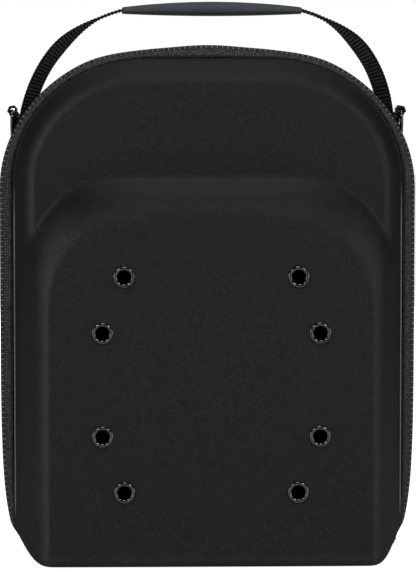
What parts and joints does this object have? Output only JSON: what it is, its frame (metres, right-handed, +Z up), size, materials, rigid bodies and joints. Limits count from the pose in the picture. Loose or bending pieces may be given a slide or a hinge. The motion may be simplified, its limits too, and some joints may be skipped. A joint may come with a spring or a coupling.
{
  "type": "baseball cap carrier case",
  "caption": "Hard-shell zipped case for carrying baseball caps, with a raised crown bay, vent eyelets, a carrying handle and D-rings",
  "frame": {"origin": "under the middle of the outer box, on the surface that the case stands on", "axes": "+Z up along the case's height, +X to the right seen from the front, the front faces -Y"},
  "size_m": [0.2932, 0.1684, 0.3881],
  "materials": {
    "shell_fabric": "fine matt black knit bonded to moulded foam",
    "zip_tape": "woven black zip tape with stitch lines",
    "zip_teeth": "black nylon coil teeth",
    "webbing": "black ribbed webbing",
    "grip_fabric": "slate grey padded neoprene sleeve",
    "black_metal": "glossy black painted metal"
  },
  "bodies": {
    "case": {"front_shell": "shell_fabric", "back_shell": "shell_fabric", "hinge_strip": "shell_fabric", "front_tape": "zip_tape", "back_tape": "zip_tape", "zipper_chain": "zip_teeth", "zip_slider": "black_metal", "handle_strap": "webbing", "handle_grip": "grip_fabric", "ring_tab_left": "webbing", "ring_tab_right": "webbing", "eyelet_1": "black_metal", "eyelet_2": "black_metal", "eyelet_3": "black_metal", "eyelet_4": "black_metal", "eyelet_5": "black_metal", "eyelet_6": "black_metal", "eyelet_7": "black_metal", "eyelet_8": "black_metal"},
    "left_ring": {"d_ring_left": "black_metal"},
    "right_ring": {"d_ring_right": "black_metal"}
  },
  "joints": [
    {"name": "left_ring_swing", "type": "hinge", "parent": "case", "child": "left_ring", "pos_m": [-0.1384, 0.0382, 0.311], "axis": [0, 1, 0], "range_deg": [-2, 150]},
    {"name": "right_ring_swing", "type": "hinge", "parent": "case", "child": "right_ring", "pos_m": [0.1384, 0.0382, 0.311], "axis": [0, -1, 0], "range_deg": [-2, 150]}
  ]
}
